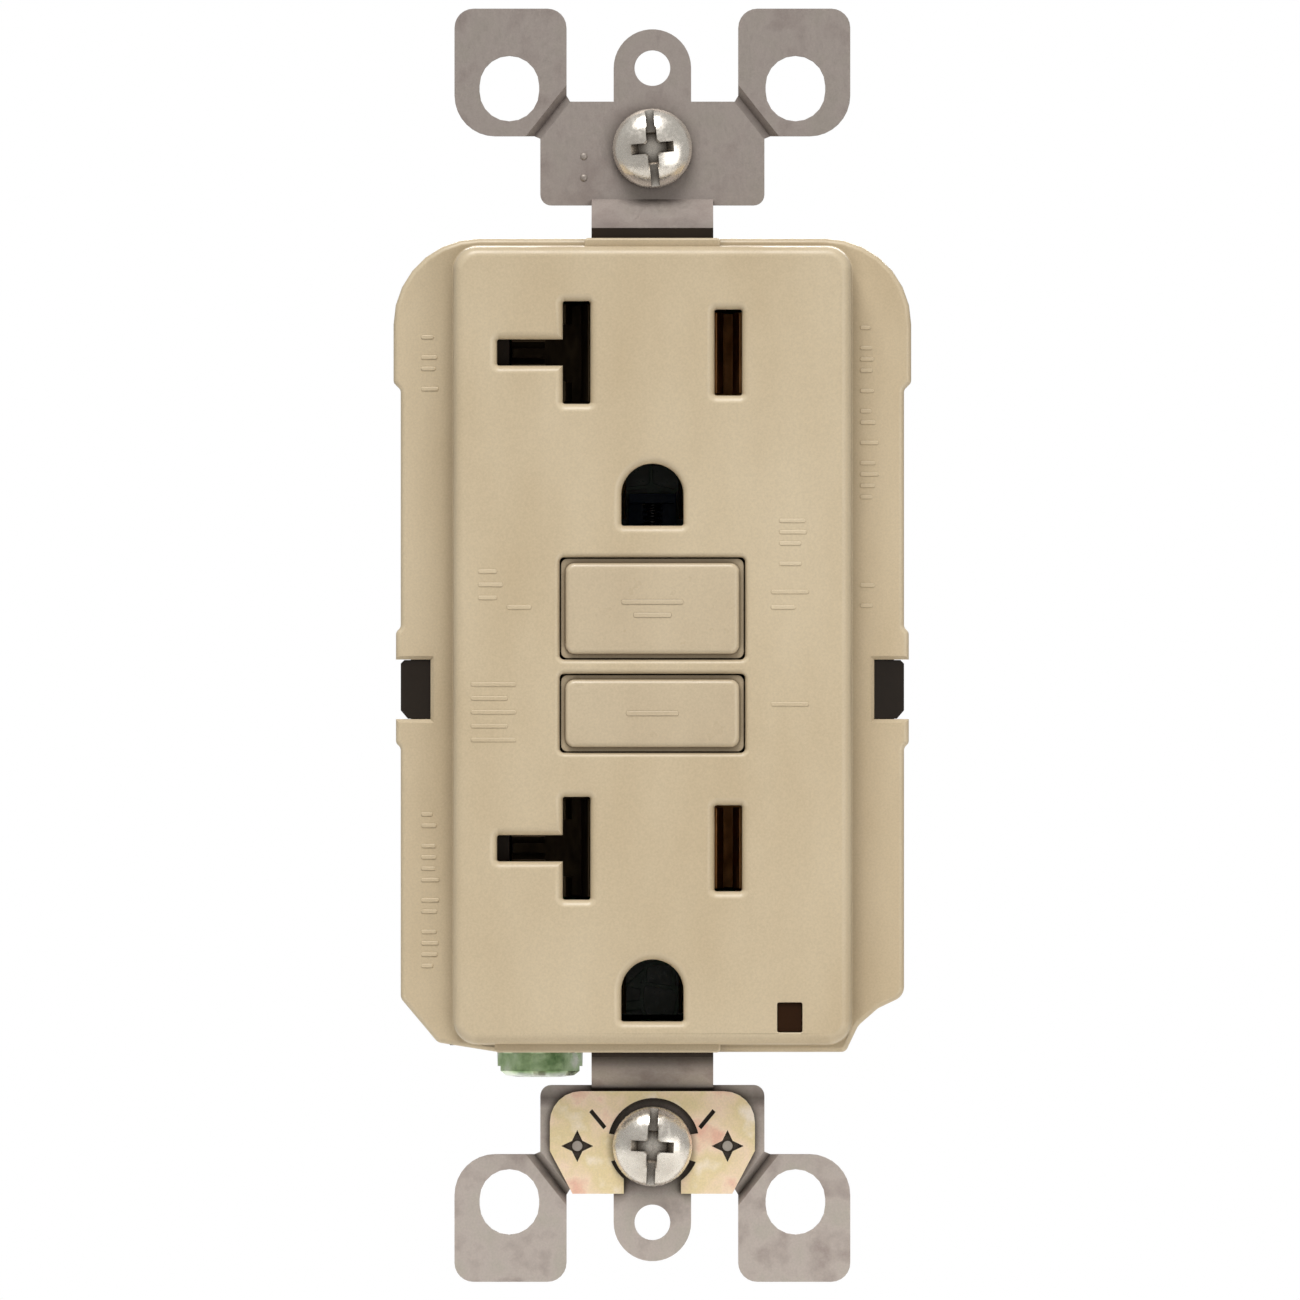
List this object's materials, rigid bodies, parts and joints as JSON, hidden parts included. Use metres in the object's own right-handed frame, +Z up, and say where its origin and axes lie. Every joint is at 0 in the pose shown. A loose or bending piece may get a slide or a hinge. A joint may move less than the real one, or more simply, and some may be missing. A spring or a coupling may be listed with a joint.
{
  "type": "ground-fault duplex receptacle",
  "caption": "Ground-fault receptacle with tee-slot sockets, reset and test bars, a metal strap with plaster ears, side wire clamps and a sprung trip mechanism inside.",
  "frame": {"origin": "on the wall plane (rear face of the plaster ears), midway between the two wall-plate screw holes and between the two box screws", "axes": "+Z up along the strap, +X to the right seen from the front, +Y back into the wall box, so the face looks along -Y"},
  "size_m": [0.0434, 0.033, 0.1068],
  "materials": {
    "ivory_plastic": "satin moulded thermoplastic",
    "dark_nylon": "matt moulded nylon",
    "black_plastic": "matt moulded thermoplastic",
    "zinc_steel": "zinc-plated stamped steel",
    "screw_steel": "bright zinc plate",
    "yellow_chromate": "yellow chromate over zinc",
    "green_steel": "green dyed zinc plate",
    "brass": "stamped brass",
    "plated_brass": "nickel-plated brass",
    "contact_silver": "silver alloy",
    "spring_steel": "drawn wire",
    "copper_winding": "enamelled copper wire",
    "white_nylon": "matt moulded nylon",
    "blue_nylon": "matt moulded nylon",
    "board_green": "solder mask on glass-epoxy",
    "chip_black": "moulded epoxy",
    "varistor_blue": "dipped epoxy",
    "capacitor_orange": "dipped epoxy",
    "resistor_tan": "painted ceramic",
    "clear_lens": "smoked clear plastic",
    "red_fibre": "vulcanised fibre"
  },
  "bodies": {
    "housing": {"front_cover": "ivory_plastic", "middle_housing": "dark_nylon", "rear_housing": "black_plastic", "assembly_screws": "screw_steel", "mounting_strap": "zinc_steel", "upper_ground_contact": "brass", "lower_ground_contact": "brass", "ground_contact_rivets": "zinc_steel", "self_ground_clip": "yellow_chromate", "clip_rivets": "zinc_steel", "screw_retainer": "red_fibre", "reset_spring": "spring_steel", "test_leaf_base": "brass", "test_post": "spring_steel", "light_pipe": "clear_lens", "hot_contact_bar": "brass", "neutral_contact_bar": "plated_brass", "contact_bar_rivets": "spring_steel", "fixed_contacts": "contact_silver", "line_hot_terminal": "brass", "line_neutral_terminal": "plated_brass", "load_hot_terminal": "brass", "load_neutral_terminal": "plated_brass", "solenoid_bobbin": "white_nylon", "solenoid_coil": "copper_winding", "plunger_spring": "spring_steel", "transformer_case": "white_nylon", "sense_coil": "copper_winding", "neutral_coil": "copper_winding", "circuit_board": "board_green", "control_chip": "chip_black", "varistor": "varistor_blue", "capacitors": "capacitor_orange", "resistors": "resistor_tan", "diodes": "chip_black", "thyristor": "chip_black", "indicator_led": "clear_lens"},
    "reset_button": {"reset_button": "ivory_plastic", "reset_pin": "spring_steel"},
    "latch_block": {"latch_block": "blue_nylon", "latch_spring": "spring_steel"},
    "latch_plate": {"latch_plate": "zinc_steel"},
    "hot_arm": {"hot_contact_arm": "brass", "hot_moving_contact": "contact_silver"},
    "neutral_arm": {"neutral_contact_arm": "plated_brass", "neutral_moving_contact": "contact_silver"},
    "test_button": {"test_button": "ivory_plastic"},
    "test_leaf": {"test_leaf": "brass"},
    "plunger": {"plunger": "spring_steel"},
    "upper_mounting_screw": {"upper_mounting_screw": "screw_steel"},
    "lower_mounting_screw": {"lower_mounting_screw": "screw_steel"},
    "ground_screw": {"ground_screw": "green_steel"},
    "line_hot_screw": {"line_hot_screw": "brass"},
    "line_hot_clamp": {"line_hot_clamp": "brass"},
    "line_neutral_screw": {"line_neutral_screw": "plated_brass"},
    "line_neutral_clamp": {"line_neutral_clamp": "plated_brass"},
    "load_hot_screw": {"load_hot_screw": "brass"},
    "load_hot_clamp": {"load_hot_clamp": "brass"},
    "load_neutral_screw": {"load_neutral_screw": "plated_brass"},
    "load_neutral_clamp": {"load_neutral_clamp": "plated_brass"}
  },
  "joints": [
    {"name": "reset_press", "type": "slide", "parent": "housing", "child": "reset_button", "axis": [0, 1, 0], "range_m": [0, 0.002], "stiffness_N_per_m": 1200, "springref_m": -0.002, "deforming": ["reset_spring"]},
    {"name": "latch_travel", "type": "slide", "parent": "housing", "child": "latch_block", "axis": [0, 1, 0], "range_m": [0, 0.002]},
    {"name": "hot_arm_open", "type": "hinge", "parent": "housing", "child": "hot_arm", "pos_m": [0.0062, 0.0113, 0.017], "axis": [1, 0, 0], "range_deg": [0, 7.5]},
    {"name": "neutral_arm_open", "type": "hinge", "parent": "housing", "child": "neutral_arm", "pos_m": [-0.0062, 0.0113, 0.017], "axis": [1, 0, 0], "range_deg": [0, 7.5]},
    {"name": "test_press", "type": "slide", "parent": "housing", "child": "test_button", "axis": [0, 1, 0], "range_m": [0, 0.0015], "stiffness_N_per_m": 800, "springref_m": -0.001},
    {"name": "test_leaf_bend", "type": "hinge", "parent": "housing", "child": "test_leaf", "pos_m": [-0.0102, 0.0032, -0.0057], "axis": [0, 0, 1], "range_deg": [0, 9.4]},
    {"name": "plunger_lift", "type": "slide", "parent": "housing", "child": "plunger", "axis": [0, 0, 1], "range_m": [0, 0.0011], "stiffness_N_per_m": 150, "springref_m": -0.002, "deforming": ["plunger_spring"]},
    {"name": "latch_plate_slide", "type": "slide", "parent": "latch_block", "child": "latch_plate", "axis": [0, 0, 1], "range_m": [0, 0.0011], "deforming": ["latch_spring"]},
    {"name": "upper_mounting_screw_turn", "type": "hinge", "parent": "housing", "child": "upper_mounting_screw", "pos_m": [0, 0, 0.04167], "axis": [0, -1, 0], "continuous": true},
    {"name": "lower_mounting_screw_turn", "type": "hinge", "parent": "housing", "child": "lower_mounting_screw", "pos_m": [0, 0, -0.04202], "axis": [0, -1, 0], "continuous": true},
    {"name": "ground_screw_out", "type": "slide", "parent": "housing", "child": "ground_screw", "axis": [0, 0, -1], "range_m": [0, 0.0025]},
    {"name": "line_hot_screw_turn", "type": "hinge", "parent": "housing", "child": "line_hot_screw", "pos_m": [0.0198, 0.0115, 0.017], "axis": [1, 0, 0], "range_deg": [0, 900]},
    {"name": "line_hot_clamp_slide", "type": "slide", "parent": "housing", "child": "line_hot_clamp", "axis": [-1, 0, 0], "range_m": [0, 0.00198]},
    {"name": "line_neutral_screw_turn", "type": "hinge", "parent": "housing", "child": "line_neutral_screw", "pos_m": [-0.0198, 0.0115, 0.017], "axis": [-1, 0, 0], "range_deg": [0, 900]},
    {"name": "line_neutral_clamp_slide", "type": "slide", "parent": "housing", "child": "line_neutral_clamp", "axis": [1, 0, 0], "range_m": [0, 0.00198]},
    {"name": "load_hot_screw_turn", "type": "hinge", "parent": "housing", "child": "load_hot_screw", "pos_m": [0.0198, 0.0115, -0.017], "axis": [1, 0, 0], "range_deg": [0, 900]},
    {"name": "load_hot_clamp_slide", "type": "slide", "parent": "housing", "child": "load_hot_clamp", "axis": [-1, 0, 0], "range_m": [0, 0.00198]},
    {"name": "load_neutral_screw_turn", "type": "hinge", "parent": "housing", "child": "load_neutral_screw", "pos_m": [-0.0198, 0.0115, -0.017], "axis": [-1, 0, 0], "range_deg": [0, 900]},
    {"name": "load_neutral_clamp_slide", "type": "slide", "parent": "housing", "child": "load_neutral_clamp", "axis": [1, 0, 0], "range_m": [0, 0.00198]}
  ],
  "couplings": [
    {"joint": "latch_travel", "follows": "reset_press", "ratio": 1},
    {"joint": "hot_arm_open", "follows": "reset_press", "rad_per_m": 65},
    {"joint": "neutral_arm_open", "follows": "reset_press", "rad_per_m": 65},
    {"joint": "test_leaf_bend", "follows": "test_press", "rad_per_m": 108},
    {"joint": "latch_plate_slide", "follows": "plunger_lift", "ratio": 1},
    {"joint": "line_hot_screw_turn", "follows": "line_hot_clamp_slide", "rad_per_m": 7915.3},
    {"joint": "line_neutral_screw_turn", "follows": "line_neutral_clamp_slide", "rad_per_m": 7915.3},
    {"joint": "load_hot_screw_turn", "follows": "load_hot_clamp_slide", "rad_per_m": 7915.3},
    {"joint": "load_neutral_screw_turn", "follows": "load_neutral_clamp_slide", "rad_per_m": 7915.3}
  ]
}
